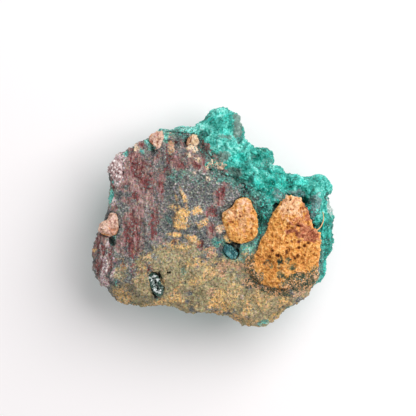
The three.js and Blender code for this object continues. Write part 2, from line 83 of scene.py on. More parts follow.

# Where the ore's face changes colour, and where painted shade and painted glints lie on it. Each row: x, y,
# half width and half height in pixels, then strength (or 1) and turn in degrees (or 0).
ORE_STAINS = {
    "olive": [
        (303, 288, 18, 10), (135, 301, 20, 7, 0.8), (165, 304, 34, 9), (215, 320, 26, 9), (255, 322, 26, 10),
        (166, 278, 36, 28, 0.85), (210, 285, 50, 32), (262, 303, 42, 22), (178, 256, 30, 14, 0.8),
        (122, 292, 12, 14, 0.65), (122, 273, 9, 11, 0.6), (142, 286, 14, 11, 0.6), (240, 262, 22, 14, 0.7),
    ],
    "maroon": [
        (208, 150, 13, 4, 0.9, -48), (157, 158, 9, 9, 0.9), (138, 170, 25, 40, 0.9), (140, 154, 16, 8, 0.8),
        (186, 162, 22, 9), (125, 264, 15, 10, 0.55), (146, 272, 14, 12, 0.45), (128, 285, 8, 8, 0.3),
        (145, 212, 22, 37, 0.85), (129, 245, 14, 18, 1, 10), (170, 150, 16, 14, 0.6),
        (176, 166, 14, 8, 0.9, -15), (197, 167, 12, 6, 0.8), (203, 150, 5, 12, 0.9), (160, 182, 6, 16),
        (158, 205, 8, 20, 0.6), (221, 198, 7, 10, 0.85, -15), (212, 211, 8, 7, 0.85, -30),
        (211, 228, 5, 10, 0.8), (155, 235, 4, 6, 0.7), (200, 244, 4, 6, 0.8), (223, 170, 3.5, 14, 0.9, 10),
        (104, 258, 12, 25), (105, 240, 10, 8), (175, 242, 4, 5, 0.8), (112, 198, 8, 14, 0.8),
    ],
    "deep": [
        (209, 149, 12, 1.8, 0.9, -48), (139, 168, 7, 14, 0.5), (151, 176, 5, 16, 0.45),
        (144, 184, 4, 9, 0.8, -10), (136, 198, 4, 5, 0.9), (132, 247, 3, 10, 0.8), (161, 185, 4, 11, 0.6),
        (221, 196, 4.5, 7, 0.75, -15), (211, 212, 6, 5, 0.7, -20), (211, 226, 2, 6, 0.8),
        (103, 254, 3, 17, 0.85, 4), (97, 268, 2, 10, 0.8), (154, 233, 3, 3, 0.9), (200, 244, 2.5, 3),
        (174, 242, 2.5, 3.5), (224, 172, 1.6, 10, 0.8, 8), (208, 168, 3, 3, 0.6), (183, 167, 5, 4, 0.8),
        (171, 159, 3, 5, 0.8), (196, 166, 4, 4, 0.8), (203, 153, 3, 8, 0.8), (176, 142, 2, 5, 0.6),
        (168, 172, 4, 5, 0.7),
    ],
    "ochre": [
        (184, 197, 2.4, 9, 0.85, 20), (177, 199, 1.6, 8, 0.55, 15), (173, 207, 5, 4, 0.4),
        (182, 214, 6, 4, 0.9, 25), (180, 221, 7, 4), (182, 227, 8, 4, 0.95, -10), (197.5, 211, 4, 3.5, 0.9),
        (202, 223, 6, 3.5, 0.75, 10), (176, 234.5, 7, 2, 0.85, -5), (190, 237, 9, 3.4, 0.85, -15),
        (196, 241, 4, 2, 0.6, -30), (172, 242, 5, 2, 0.4), (181, 247, 9, 3, 0.5), (231, 238, 5, 4, 0.9, -20),
        (120, 294, 5, 7, 0.6), (127, 299, 4, 6, 0.6), (218, 301, 8, 9, 1, 15), (219, 300, 6, 6),
        (176, 298, 8, 5, 0.7), (197, 281, 9, 7, 0.4), (243, 315, 9, 6, 0.8, 30), (282, 301, 7, 5, 0.7),
        (163, 283, 1.6, 6, 1, -25), (160, 284, 3, 6, 0.9, -30), (93, 250, 2.5, 3, 0.8),
        (235, 290, 12, 8, 0.35), (255, 300, 14, 8, 0.45), (200, 262, 10, 6, 0.35), (253, 262, 4, 9, 0.6, -20),
        (268, 296, 8, 4, 0.4), (224, 307, 12, 6, 0.55, 25), (242, 316, 14, 5, 0.6, 25),
        (236, 292, 10, 4, 0.4, 20),
    ],
    "cream": [
        (196, 139, 4, 6, 1, 10), (192, 150, 6, 5), (190, 157, 7, 2, 0.7, -25), (196, 161, 4, 1.6, 0.6, -40),
        (207, 168, 2.6, 4, 1, 15), (212, 164.4, 7, 3.4, 1, 8), (218.8, 167, 3.4, 4, 1, -20),
        (216, 165, 5, 3, 1, -10), (137, 149, 2.5, 3, 0.9), (194, 174, 2.5, 3, 0.6), (208, 180, 2, 4, 0.5),
        (220, 230, 4, 4, 0.35),
    ],
    "peach": [
        (170.5, 144, 3.4, 11, 1, 4), (220, 230, 4, 4.5, 0.9), (211, 253, 6, 6, 0.8),
        (223, 268, 7, 7, 0.9, 30), (236, 265, 7, 4, 0.8), (245, 280, 5, 4), (208, 292, 4, 5, 0.7),
        (260, 282, 8, 5, 0.7, 20), (303, 288, 12, 6, 0.9, 20), (284, 290, 8, 4, 0.6), (165, 246, 4, 5, 0.4),
    ],
    "mint": [
        (186, 133.5, 22, 2.6, 0.9), (166, 137, 3, 3, 0.7), (112, 198, 2.4, 9), (125, 154, 2, 6, 0.9),
        (133, 146, 4, 2, 0.8, 20), (142, 150, 2, 4, 0.6, 20), (207.5, 164.5, 3, 1.8, 1, 40),
        (148, 141, 2.5, 4, 0.8, -30), (113.5, 180, 1.6, 6, 0.6), (219, 243, 4, 2.4, 0.8, -30),
        (232, 242, 5, 2, 0.7, -10), (246, 249, 7, 3, 0.8), (257, 243, 3, 4, 0.6), (236, 258, 5, 3, 0.5),
        (249, 258, 3, 2, 0.5), (266, 236, 3, 4, 0.7), (158, 300, 2, 1.6, 0.5), (119, 302, 3, 2, 0.8),
        (263, 323, 6, 2.4, 0.8), (291, 306, 4, 2.4, 0.7, 20), (117, 282, 1.4, 5, 0.5),
    ],
    "teal": [
        (277, 202, 5, 7, 0.8), (312, 206, 6, 12, 0.8), (149, 141, 5, 6, 1, -30), (152, 147, 5, 4, 0.9, -30),
        (168, 219, 4, 4, 0.6), (165, 138, 6, 5), (126, 154, 2.5, 6), (133, 146, 5, 3),
        (142, 152, 3, 6, 0.6, 20), (207.5, 164.5, 3, 1.8, 1, 40), (246, 247, 15, 7),
        (224, 243, 10, 5, 1, -20), (240, 256, 10, 7, 0.85), (262, 243, 8, 8, 0.8), (218, 244, 4, 3),
        (265, 235, 6, 7, 0.9), (252, 255, 7, 7, 0.7), (229, 251, 7, 7, 1, -30), (176, 176, 12, 8, 0.45),
        (200, 180, 16, 10, 0.35), (232, 178, 10, 8, 0.8, -20), (218, 184, 2, 4, 0.8, -20),
        (235, 283, 10, 8, 0.3), (118, 270, 5, 12, 0.35), (119, 302, 4, 3, 0.8), (115, 295, 3, 3, 0.7),
        (263, 323, 7, 4), (290, 307, 5, 4, 1, 20), (288, 281, 5, 10, 0.6), (183, 271, 3, 8, 0.5),
        (114, 241, 3.5, 7, 1, -15), (112, 197, 3, 8), (92, 255, 3, 8, 0.5),
    ],
    # Painted shade: darker in the crevices, pits, seams and the vug, where shade falls.
    "dark": [
        (155, 150, 2.6, 4, 0.5, -40), (177, 142, 3, 10, 0.4), (156, 276, 5, 6, 1, -20),
        (158, 290, 5, 8, 1, -25), (169, 272, 3, 1.5), (181, 263, 2, 1.5, 0.7), (113, 241, 2.5, 5, 0.7, 20),
        (246, 189, 4, 6, 1, -30), (213, 169.5, 4, 1.8, 0.8), (232, 244, 8, 2, 0.9, 20),
        (236, 251, 2, 7, 0.9, -15), (228, 244, 9, 1.6, 0.8, -25), (257, 262, 4, 9, 0.35, -10),
        (257, 233, 1.6, 9, 1, -15), (257, 280, 7, 4, 0.4, 25), (273, 288, 9, 3, 0.4, 10),
        (185.5, 142, 2, 8, 0.6), (184, 155, 5, 3, 0.4, -20), (194, 301, 10, 7, 0.35),
    ],
    # White quartz patches, and painted glints and highlights on the maroon lobe at the left and beside the
    # upper-left nodule.
    "white": [
        (114, 272, 2.4, 7, 0.55, -10), (101, 252, 1.4, 8, 0.7, 10), (108, 246, 1.6, 4, 0.6),
        (120, 165, 6, 10, 0.9, -20), (118, 179, 5, 10), (106.5, 264, 3.2, 10, 0.9, -5),
        (103, 274, 2.4, 4, 0.75), (114, 259, 2, 6, 0.8), (104, 283, 6, 6, 0.7, -30), (115, 202, 3, 4, 0.7),
        (159, 144, 2, 2), (241, 296, 2.5, 3, 0.8), (218, 184, 2.5, 4, 0.6, -30), (175.7, 184.7, 1.4, 1.2),
    ],
}

# Where the green crust changes, with its painted shade and painted glints, in the same order.
CRUST_STAINS = {
    "mint": [
        (219, 113, 9, 6), (240, 148, 14, 4, 0.7, -35), (184, 128, 24, 7), (204, 127, 6, 5),
        (233, 150, 14, 7, 0.6, -20), (262, 150, 8, 5, 0.3), (262, 177, 6, 8, 0.4), (323, 184, 10, 10, 0.55),
        (272, 166, 6, 3, 0.5, -5), (214, 108, 6, 5, 0.6, 20), (264, 212, 4, 6, 0.4),
        (296, 186, 12, 4, 0.5, 30),
    ],
    # Painted shade in the crust's crevices and cracks, which crust_piece also sinks a little.
    "dark": [
        (202, 133, 4, 3, 0.7), (218, 138, 5, 2.4, 0.45, -20), (228, 141, 5, 2, 0.45, 10),
        (239, 139, 5, 2, 0.5, 30), (244, 148, 2.4, 6, 0.5, -20), (262, 167, 7, 2, 0.5, -5),
        (252, 178, 3, 9, 0.5, -38), (270, 172, 6, 2, 0.5, -30), (246, 190, 4, 7, 1, -30),
        (240, 183, 6, 4, 0.5, -20), (259, 214, 8, 20, 0.6), (328, 197, 4, 4, 0.7),
        (211, 120, 6, 1.5, 0.5, 30), (284, 190, 6, 3, 0.4, 30),
    ],
    "deep": [
        (266, 152, 12, 11, 0.9), (275, 163, 8, 5, 0.6), (268, 188, 16, 10, 0.6), (245, 160, 6, 6, 0.3),
        (290, 178, 8, 4, 0.4), (328, 240, 12, 40, 0.9), (323, 186, 12, 10, 0.5),
    ],
    "grey": [
        (240, 124, 9, 17, 1, -10), (225, 158, 9, 6, 0.9, -20), (233, 172, 10, 8, 0.7, -30),
        (228, 137, 9, 3, 0.6, -10), (268, 163, 8, 4, 0.4), (250, 160, 4, 10, 0.3, -30),
    ],
    "hollow": [
        (293, 195, 17, 5), (279, 199, 5, 9, 0.9, 25), (313, 206, 7, 13, 1, -10), (266, 236, 6, 6, 0.9),
        (262, 208, 7, 14, 0.45),
    ],
    "teal": [
        (270, 182, 18, 14), (262, 215, 8, 20, 0.8), (328, 255, 8, 26, 0.6), (236, 160, 8, 6, 0.4),
        (252, 150, 7, 6, 0.4), (266, 152, 12, 10, 0.7),
    ],
    # Bright turquoise patches, and painted glints: the thin streaks along the right-hand strip.
    "bright": [
        (223, 132, 5, 4, 0.9), (214, 117, 12, 3, 0.8, 25), (226, 117, 3, 6, 0.7, -30), (236, 119, 3, 3, 0.7),
        (240, 158, 7, 7, 0.8), (259, 183, 8, 5), (282, 184, 5, 7, 0.8), (300, 182, 8, 5, 0.9),
        (306.5, 198, 3, 2.5), (313.5, 226, 3.5, 2.5), (317.5, 220, 1.6, 2), (310, 209, 1.4, 1.4),
        (315, 211, 1.4, 1.4), (262, 219, 2, 2), (261, 225, 2, 2, 0.9), (270, 212, 1.4, 2, 0.9),
        (265, 210, 1.6, 1.6, 0.8), (276, 200, 1.6, 1.6), (246, 147, 4, 6, 0.6), (236, 136, 3, 6, 0.5, 40),
        (272, 172, 5, 4, 0.5), (324, 228, 2, 9, 0.8), (326, 262, 2, 12, 0.7), (321, 250, 1.6, 10, 0.6),
        (318, 178, 5, 4, 0.4), (330, 222, 1.5, 6, 0.5),
    ],
    "tan": [
        (214.5, 165.5, 8.5, 4.4, 1, 8), (220, 167, 3.4, 4, 0.9, -20), (208, 169, 2.4, 4, 0.8, 10),
    ],
    "pale": [(332, 206, 4.5, 8, 0.8, 15), (243, 118, 2, 6, 0.6, -20)],
    "rising": [
        (222, 116, 20, 18), (320, 184, 16, 14), (190, 128, 22, 8, 0.8), (295, 185, 12, 9, 0.8),
    ],
    "upright": [(326, 240, 14, 42), (262, 215, 10, 20)],
    "maroon": [
        (208, 149, 13, 3.5, 0.9, -48), (214, 157, 7, 4, 0.7, -40), (222, 172, 5, 9, 0.8, 8),
    ],
}

# Where the large nodule breaks up into crumbs, in the same order.
CRUMBS = [
    (296, 283, 16, 7), (276, 291, 16, 3.4, 0.8, -8), (253, 279, 6, 8, 0.75, -50), (250, 262, 4, 10, 0.55),
    (313, 277, 6, 8, 0.9), (303, 276, 12, 5, 0.6),
]

# Where the ore's rim stands higher, in the same order, the strength being the lift in millimetres.
ORE_LIFTS = [
    (183, 138, 20, 4, 1.8), (239, 246, 6, 4, 1.1),
]

# Where the ochre nodules change, in the same order.
LIMONITE_STAINS = {
    "cream": [
        (290, 208, 11, 13), (281, 212, 6, 9, 0.5), (237, 213, 16, 14, 0.7), (240, 228, 10, 8, 0.4),
    ],
    "pink": [(110, 225, 22, 20), (156, 141, 20, 22), (243, 203, 8, 6, 0.4)],
    "tan": [(194, 143, 18, 22)],
    "red": [
        (230, 221, 4, 5, 0.4), (247, 228, 4, 4, 0.3), (152, 142, 1.6, 7, 0.8, 10), (158, 141, 1.2, 6, 0.6),
        (189, 141, 2, 7, 0.7, -15), (304, 234, 15, 9, 1, -28), (307, 214, 4, 13, 0.9, 20),
        (298, 222, 7, 6, 0.6), (116, 231, 5, 5, 0.6), (239, 216, 4, 3, 0.6), (264, 262, 5, 5, 0.35),
    ],
    "green": [
        (266, 262, 4, 5, 0.45), (290, 266, 8, 3, 0.6), (280, 259.5, 3.4, 4.4), (286, 261, 3.4, 3.8),
        (279.5, 274, 4, 5.5), (277.5, 266.5, 3, 3, 0.8), (285, 278, 4.5, 4, 0.9), (292.5, 268, 2.4, 2, 0.9),
        (312.5, 268, 4.6, 4.6), (300, 277, 14, 6, 1, -6), (312, 276, 6, 6), (270, 266, 2.4, 2.2, 0.5),
        (295, 284, 11, 4, 0.9), (256, 277, 4, 4, 0.5, -45), (252, 268, 3, 4, 0.4),
    ],
    "brown": [(236, 219, 13, 14, 0.3), (278, 260, 24, 12, 0.6), (300, 260, 14, 9, 0.4)],
    "pit": [
        (300, 213, 1.2, 5, 0.9, 15), (297, 225.5, 3.5, 1.3, 1, -10), (304.5, 205, 1.3, 4.5, 0.8, -20),
        (288, 227, 4, 1, 0.4, -10), (290, 234, 7, 1, 0.4, 10), (307, 243, 1.2, 1.2, 0.9),
        (302.5, 245, 1.2, 1.2, 0.8), (297.5, 247.5, 1.4, 1.2, 0.9), (291, 250, 1.4, 1.2, 0.9),
        (287.5, 250, 1.2, 1.2, 0.8), (285, 252, 1.2, 2, 0.8), (296, 255, 1.5, 1.8, 0.9),
        (277.5, 255, 2.6, 1.2, 0.9), (271, 250.6, 1.4, 1.4, 0.9), (313.7, 255, 1.4, 1.4, 0.8),
        (293.7, 258, 1.2, 1.2, 0.7), (303, 255, 1.2, 1.2, 0.6), (309, 251, 1.2, 1.2, 0.6),
        (280, 240, 1.2, 1.2, 0.5), (289, 199, 1, 1.6, 0.7), (292, 206, 1, 1, 0.6), (286, 210, 1, 1, 0.6),
        (239.5, 216.5, 1.6, 2, 0.9), (230, 222, 2, 1, 0.7), (262, 262, 1.6, 2, 0.6),
        (268, 256, 1.2, 1.2, 0.7), (190.5, 141, 0.8, 3, 0.7, -10), (193, 138, 0.7, 2, 0.5),
        (192, 150, 1.5, 2, 0.8), (251, 233, 1.5, 2, 0.6), (246, 228, 1.2, 1.2, 0.6),
        (236, 230, 1.2, 1.2, 0.5),
    ],
}

# A hair of limonite that lies from the large nodule over the crust, seen from above.
STRAND = [(34.4, -5.2), (35.5, -4.6), (36.5, -3.6), (37.3, -1.9), (37.5, -0.2), (37.2, 1.5)]

# The camera looks straight down on the face.
CAMERA = {"place": (-1.68, 2.47, 810.8), "lens": 200, "sensor": 36}
SKY = 0.56
KEY = {"place": (272, 208, 430), "size": 500, "power": 3.05}
FLOOR = {"size": 3000, "colour": (246, 242, 243)}


def srgb(red, green, blue):
    """A display colour, 0 to 255, as the linear colour that a shader takes."""
    parts = np.array((red, green, blue)) / 255
    low = parts / 12.92
    high = ((parts + 0.055) / 1.055) ** 2.4
    return (*np.where(parts < 0.04045, low, high).tolist(), 1.0)


# --- Noise ---

def lattice(cell, salt):
    """A number from 0 to 1 for each whole-numbered cell, always the same one: an integer hash."""
    x, y, z = (cell[..., k].astype(np.int64).astype(np.uint32) for k in range(3))
    h = x * np.uint32(374761393) + y * np.uint32(668265263) + z * np.uint32(2246822519)
    h = h + np.uint32(salt * 3266489917 % 2**32)
    h = (h ^ (h >> np.uint32(15))) * np.uint32(2246822519)
    h = (h ^ (h >> np.uint32(13))) * np.uint32(3266489917)
    return (h ^ (h >> np.uint32(16))) / 2.0**32


def noise(p, size, salt=0):
    """Smooth noise from -1 to 1 at the points p, its lumps about `size` across. Each salt gives another."""
    q = p / size
    cell = np.floor(q)
    f = q - cell
    f = f * f * (3 - 2 * f)
    total = 0
    for corner in itertools.product((0, 1), repeat=3):
        share = np.prod(np.where(corner, f, 1 - f), axis=-1)
        total = total + share * lattice(cell + corner, salt)
    return 2 * total - 1


def rough(p, size, steps, salt=0):
    """Noise with `steps` finer layers, each half as large and half as strong."""
    return sum(noise(p, size / 2**k, salt + 31 * k) / 2**k for k in range(steps))


def cells(p, size, salt=0):
    """How far each point is from the nearest of a set of scattered seeds, in cell sizes, and its number."""
    q = p / size
    home = np.floor(q)
    nearest = np.full(len(p), 9.0)
    number = np.zeros(len(p))
    for step in itertools.product((-1, 0, 1), repeat=3):
        cell = home + step
        seed = cell + np.stack([lattice(cell, salt + k) for k in range(3)], axis=-1)
        far = np.linalg.norm(q - seed, axis=-1)
        closer = far < nearest
        nearest = np.where(closer, far, nearest)
        number = np.where(closer, lattice(cell, salt + 7), number)
    return nearest, number


def fade(low, high, x):
    """0 below `low`, 1 above `high` and a smooth step between."""
    t = np.clip((x - low) / (high - low), 0, 1)
    return t * t * (3 - 2 * t)


def placed(x, y, wide, high, strength=1, turn=0):
    """A stain's row with its place and half sizes in the frame's millimetres, to a tenth, and its turn in
    radians."""
    place = (x - ORIGIN[0]) * PIXEL - BOX_CENTRE[0], (ORIGIN[1] - y) * PIXEL - BOX_CENTRE[1]
    lengths = [round(length, 1) for length in (*place, wide * PIXEL, high * PIXEL)]
    return *lengths, strength, math.radians(turn)


def stain(p, places, warp=0.5, salt=0, band=TOP_BAND, size=2.4):
    """How strongly a set of patches covers each point, 0 to 1. Their edges wander by `warp` of their own
    size, in lumps about `size` across."""
    most = np.zeros(len(p))
    wander = rough(p, size, 3, salt + 500)
    for row in places:
        x, y, wide, high, strength, a = placed(*row)
        dx, dy = p[:, 0] - x, p[:, 1] - y
        u = (dx * math.cos(a) + dy * math.sin(a)) / wide
        v = (dy * math.cos(a) - dx * math.sin(a)) / high
        far = np.hypot(u, v) + warp * wander
        most = np.maximum(most, strength * (1 - fade(*STAIN_EDGE, far)))
    return most * fade(*band, p[:, 2] + BAND_WANDER * wander)


# --- Meshes ---

def points_of(mesh):
    """A mesh's vertices, in millimetres."""
    found = np.empty(len(mesh.vertices) * 3)
    mesh.vertices.foreach_get("co", found)
    return found.reshape(-1, 3) / MM


def move(mesh, p):
    """Puts a mesh's vertices at p, in millimetres. Nothing goes below the surface that it stands on."""
    p = p.copy()
    p[:, 2] = np.maximum(p[:, 2], 0)
    mesh.vertices.foreach_set("co", (p * MM).ravel())
    mesh.update()


def keep(mesh, **masks):
    """Stores numbers for each vertex, by name, for the material to read."""
    for name, values in masks.items():
        layer = mesh.attributes.new(name, "FLOAT", "POINT")
        layer.data.foreach_set("value", np.asarray(values, dtype=np.float32))


def linked(name, data):
    """A new object in the scene."""
    made = bpy.data.objects.new(name, data)
    bpy.context.scene.collection.objects.link(made)
    return made


def shown(mesh, name, node, material, smooth=False):
    """Puts a mesh in the scene as a piece. It stands for `node`, if that is given."""
    piece = linked(name, mesh)
    mesh.materials.clear()
    mesh.materials.append(material)
    mesh.shade_smooth() if smooth else mesh.shade_flat()
    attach(piece, "root")
    if node:
        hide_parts(node)
    return piece


def fine_copy(node, cell):
    """A CAD node's shape as one even, fine mesh, its corners eased, with its points and normals."""
    rest = linked("rest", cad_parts[node].data.copy())
    remesh = rest.modifiers.new("even", "REMESH")
    remesh.mode = "VOXEL"
    remesh.voxel_size = cell * MM
    ease = rest.modifiers.new("ease", "SMOOTH")
    ease.iterations = 2
    ease.factor = 0.5
    graph = bpy.context.evaluated_depsgraph_get()
    mesh = bpy.data.meshes.new_from_object(rest.evaluated_get(graph))
    bpy.data.objects.remove(rest)
    for layer in [a.name for a in mesh.attributes if not a.is_required and a.name != "sharp_face"]:
        mesh.attributes.remove(mesh.attributes[layer])
    normals = np.empty(len(mesh.vertices) * 3)
    mesh.vertex_normals.foreach_get("vector", normals)
    return mesh, points_of(mesh), normals.reshape(-1, 3)


def gap_to(tree, p):
    """How far each point is from the surface in a search tree."""
    return np.array([tree.find_nearest(Vector(q))[3] for q in p.tolist()])


def tree_of(*nodes):
    """A search tree of one CAD node or more, in millimetres."""
    points, faces = [], []
    for node in nodes:
        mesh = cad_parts[node].data
        faces += [tuple(len(points) + i for i in f.vertices) for f in mesh.polygons]
        points += points_of(mesh).tolist()
    return BVHTree.FromPolygons(points, faces)


def scattered(mesh, count, weight=None):
    """`count` places on a mesh by area, times a weight at each face's middle: points and normals."""
    mesh.calc_loop_triangles()
    corners = np.empty(len(mesh.loop_triangles) * 3, dtype=np.int32)
    mesh.loop_triangles.foreach_get("vertices", corners)
    a, b, c = points_of(mesh)[corners.reshape(-1, 3)].transpose(1, 0, 2)
    across = np.cross(b - a, c - a)
    area = np.linalg.norm(across, axis=1) / 2
    way = across / np.maximum(area[:, None] * 2, 1e-12)
    share = area if weight is None else area * weight((a + b + c) / 3, way)
    chosen = draw.choice(len(area), count, p=share / share.sum())
    u, v = np.sqrt(draw.random(count))[:, None], draw.random(count)[:, None]
    place = a[chosen] * (1 - u) + b[chosen] * u * (1 - v) + c[chosen] * u * v
    return place, way[chosen]


def unit(rows):
    """The same directions, each one long."""
    return rows / np.linalg.norm(rows, axis=1)[:, None]


def turned(way, spin):
    """For each direction: three axes, the last along it, the others spun round it."""
    helper = np.where(np.abs(way[:, 2:]) < 0.9, [[0.0, 0.0, 1.0]], [[1.0, 0.0, 0.0]])
    side = unit(np.cross(helper, way))
    other = np.cross(way, side)
    cos, sin = np.cos(spin)[:, None], np.sin(spin)[:, None]
    return side * cos + other * sin, other * cos - side * sin, way


def copies(name, material, shape, faces, place, way, scale):
    """A piece of many copies of a small shape, each with its own way up and three sizes. The shape is the
    same for all, or one for each."""
    count = len(place)
    corner = shape[None] if shape.ndim == 2 else shape
    axes = turned(way, draw.uniform(0, math.tau, count))
    steps = [(corner[..., k] * scale[:, k:k + 1])[..., None] * axes[k][:, None] for k in range(3)]
    p = place[:, None] + sum(steps)
    p[..., 2] = np.maximum(p[..., 2], LOWEST)
    each = p.shape[1]
    made = [tuple(i + each * k for i in f) for k in range(count) for f in faces]
    mesh = bpy.data.meshes.new(name)
    mesh.from_pydata((p.reshape(-1, 3) * MM).tolist(), [], made)
    keep(mesh, tone=np.repeat(draw.random(count), each))
    shown(mesh, name, None, material)


# --- Materials ---

class Look:
    """A node material in the making. Most methods add a node and give what it puts out."""

    def __init__(self, name, **fixed):
        self.material = bpy.data.materials.new(name)
        self.material.use_nodes = True
        self.tree = self.material.node_tree
        self.tree.nodes.clear()
        self.shader = self.add("ShaderNodeBsdfPrincipled")
        for socket, value in fixed.items():
            self.shader.inputs[socket.replace("_", " ")].default_value = value
        ending = self.add("ShaderNodeOutputMaterial")
        self.tree.links.new(self.shader.outputs[0], ending.inputs[0])
        self.where = self.add("ShaderNodeTexCoord").outputs["Object"]

    def add(self, kind, **settings):
        node = self.tree.nodes.new(kind)
        for setting, value in settings.items():
            setattr(node, setting, value)
        return node

    def wire(self, value, socket):
        if isinstance(value, bpy.types.NodeSocket):
            self.tree.links.new(value, socket)
        else:
            socket.default_value = value

    def texture(self, kind, size, stretch=(1, 1, 1), shift=0.0, turn=0, **inputs):
        """A texture node whose features are about `size` millimetres across, times `stretch` along each axis,
        and turned about Z."""
        scaled = self.add("ShaderNodeMapping", vector_type="TEXTURE")
        scaled.inputs["Scale"].default_value = [size * MM * s for s in stretch]
        scaled.inputs["Rotation"].default_value = (0, 0, math.radians(turn))
        scaled.inputs["Location"].default_value = [size * MM * s for s in (shift, 2 * shift, -shift)]
        self.wire(self.where, scaled.inputs["Vector"])
        node = self.add(kind)
        self.wire(scaled.outputs[0], node.inputs["Vector"])
        for socket, value in {"Scale": 1, **inputs}.items():
            node.inputs[socket].default_value = value
        return node

    def noise(self, size, detail=2, stretch=(1, 1, 1), shift=0.0, turn=0):
        """Noise from 0 to 1, its contrast opened up."""
        node = self.texture("ShaderNodeTexNoise", size, stretch, shift, turn, Detail=detail, Roughness=0.6)
        return self.range(node.outputs["Fac"], 0.25, 0.75)

    def grains(self, size):
        """A number from 0 to 1, the same all over each of many small cells."""
        split = self.add("ShaderNodeSeparateColor")
        self.wire(self.texture("ShaderNodeTexVoronoi", size).outputs["Color"], split.inputs[0])
        return split.outputs[0]

    def kept(self, name):
        """A number that the mesh carries at each vertex."""
        return self.add("ShaderNodeAttribute", attribute_name=name).outputs["Fac"]

    def range(self, value, low, high, to_low=0.0, to_high=1.0):
        node = self.add("ShaderNodeMapRange")
        for socket, number in zip(node.inputs, (value, low, high, to_low, to_high)):
            self.wire(number, socket)
        return node.outputs[0]

    def math(self, operation, a, b):
        node = self.add("ShaderNodeMath", operation=operation)
        self.wire(a, node.inputs[0])
        self.wire(b, node.inputs[1])
        return node.outputs[0]

    def plus(self, a, b, share=1.0):
        """a plus a share of b."""
        return self.math("ADD", a, self.math("MULTIPLY", b, share))

    def edge(self, mask, grit, width=0.3, ragged=0.8):
        """A mask with its soft edge broken up by `grit`, a noise from 0 to 1. It stays 0 where it is 0."""
        gate = self.math("MINIMUM", self.math("MULTIPLY", mask, 3), 1)
        broken = self.plus(mask, self.math("MULTIPLY", self.math("SUBTRACT", grit, 0.5), gate), ragged)
        return self.range(broken, 0.5 - width, 0.5 + width)

    def ramp(self, value, *stops):
        """A blend through display colours, each stop being its place and its red, green and blue."""
        node = self.add("ShaderNodeValToRGB")
        parts = node.color_ramp.elements
        while len(parts) < len(stops):
            parts.new(0.5)
        for part, (place, *colour) in zip(parts, stops):
            part.position = place
            part.color = srgb(*colour)
        self.wire(value, node.inputs[0])
        return node.outputs[0]

    def mix(self, share, a, b, way="MIX"):
        node = self.add("ShaderNodeMix", data_type="RGBA", blend_type=way)
        self.wire(share, node.inputs[0])
        self.wire(a, node.inputs[6])
        self.wire(b, node.inputs[7])
        return node.outputs[2]

    def over(self, colour, name, value, stops, *edge):
        """A colour, with a ramp over it where the mesh's mask `name` is strong."""
        return self.mix(self.edge(self.kept(name), *edge), colour, self.ramp(value, *stops))

    def tinted(self, colour, size, strength):
        """A colour with small shifts of hue from place to place."""
        node = self.texture("ShaderNodeTexNoise", size, shift=5.0, Detail=1)
        return self.mix(strength, colour, node.outputs["Color"], "OVERLAY")

    def done(self, colour, roughness, height, depth):
        """Wires the colour, roughness and fine bump, the last `depth` millimetres high."""
        self.wire(colour, self.shader.inputs["Base Color"])
        self.wire(roughness, self.shader.inputs["Roughness"])
        bump = self.add("ShaderNodeBump")
        bump.inputs["Distance"].default_value = depth * MM
        self.wire(height, bump.inputs["Height"])
        self.wire(bump.outputs[0], self.shader.inputs["Normal"])
        return self.material


BROKEN = ("ochre", "cream", "peach", "deep")  # the ore's stains with the most broken edges
ORE_BANDS = {"mint": LIP_BAND, "teal": LIP_BAND, "cream": RIM_BAND, "white": RIM_BAND, "dark": RIM_BAND}


def ore_look():
    look = Look("ore")
    fine = look.noise(0.62)
    grit = look.noise(0.95, shift=3.0)
    broad = look.noise(4.5, 3, shift=7.0)
    streak = look.noise(0.75, 2, (0.8, 2.4, 1), 11.0)
    # high is the relief's height: the face is painted darker in the hollows of its relief and lighter on its
    # bumps, as shade and light.
    high = look.kept("high")
    tone = look.range(look.plus(look.plus(fine, broad, 0.35), high, 0.45), 0.15, 1.45)
    line = look.range(look.plus(streak, high, 0.45), 0.1, 1.3)
    colour = look.ramp(
        tone, (0, 22, 26, 28), (0.3, 66, 70, 72), (0.55, 102, 104, 102), (0.8, 146, 144, 138),
        (1, 218, 214, 208),
    )
    for name, value, *stops in (
        ("olive", tone, (0, 90, 84, 60), (0.3, 142, 132, 98), (0.6, 168, 154, 118), (1, 204, 184, 144)),
        ("maroon", line, (0, 80, 40, 40), (0.35, 136, 98, 94), (0.65, 164, 132, 126), (1, 206, 178, 170)),
        ("deep", line, (0, 56, 14, 18), (0.4, 118, 54, 54), (0.75, 156, 96, 92), (1, 200, 152, 144)),
        ("teal", tone, (0, 20, 58, 54), (0.35, 60, 116, 106), (0.7, 104, 158, 144), (1, 160, 204, 188)),
        ("mint", tone, (0, 4, 100, 88), (0.35, 56, 168, 154), (0.7, 128, 214, 202), (1, 196, 246, 238)),
        ("ochre", tone, (0, 136, 92, 46), (0.3, 206, 156, 90), (0.6, 238, 186, 116), (1, 255, 220, 158)),
        ("peach", tone, (0, 120, 84, 66), (0.5, 196, 152, 118), (1, 236, 200, 164)),
        ("cream", tone, (0, 110, 78, 58), (0.4, 196, 166, 134), (0.7, 228, 204, 174), (1, 252, 232, 204)),
        ("white", fine, (0, 116, 80, 80), (0.4, 186, 158, 156), (0.7, 230, 216, 214), (1, 254, 250, 248)),
        ("dark", tone, (0, 8, 18, 17), (0.6, 34, 46, 42), (1, 84, 92, 84)),
    ):
        width = 0.5 if name == "ochre" else 0.25
        colour = look.over(colour, name, value, stops, grit, width, 1.6 if name in BROKEN else 0.8)
    colour = look.tinted(colour, size=0.7, strength=0.4)
    return look.done(colour, look.range(fine, 0, 1, 0.85, 0.5), fine, depth=0.25)


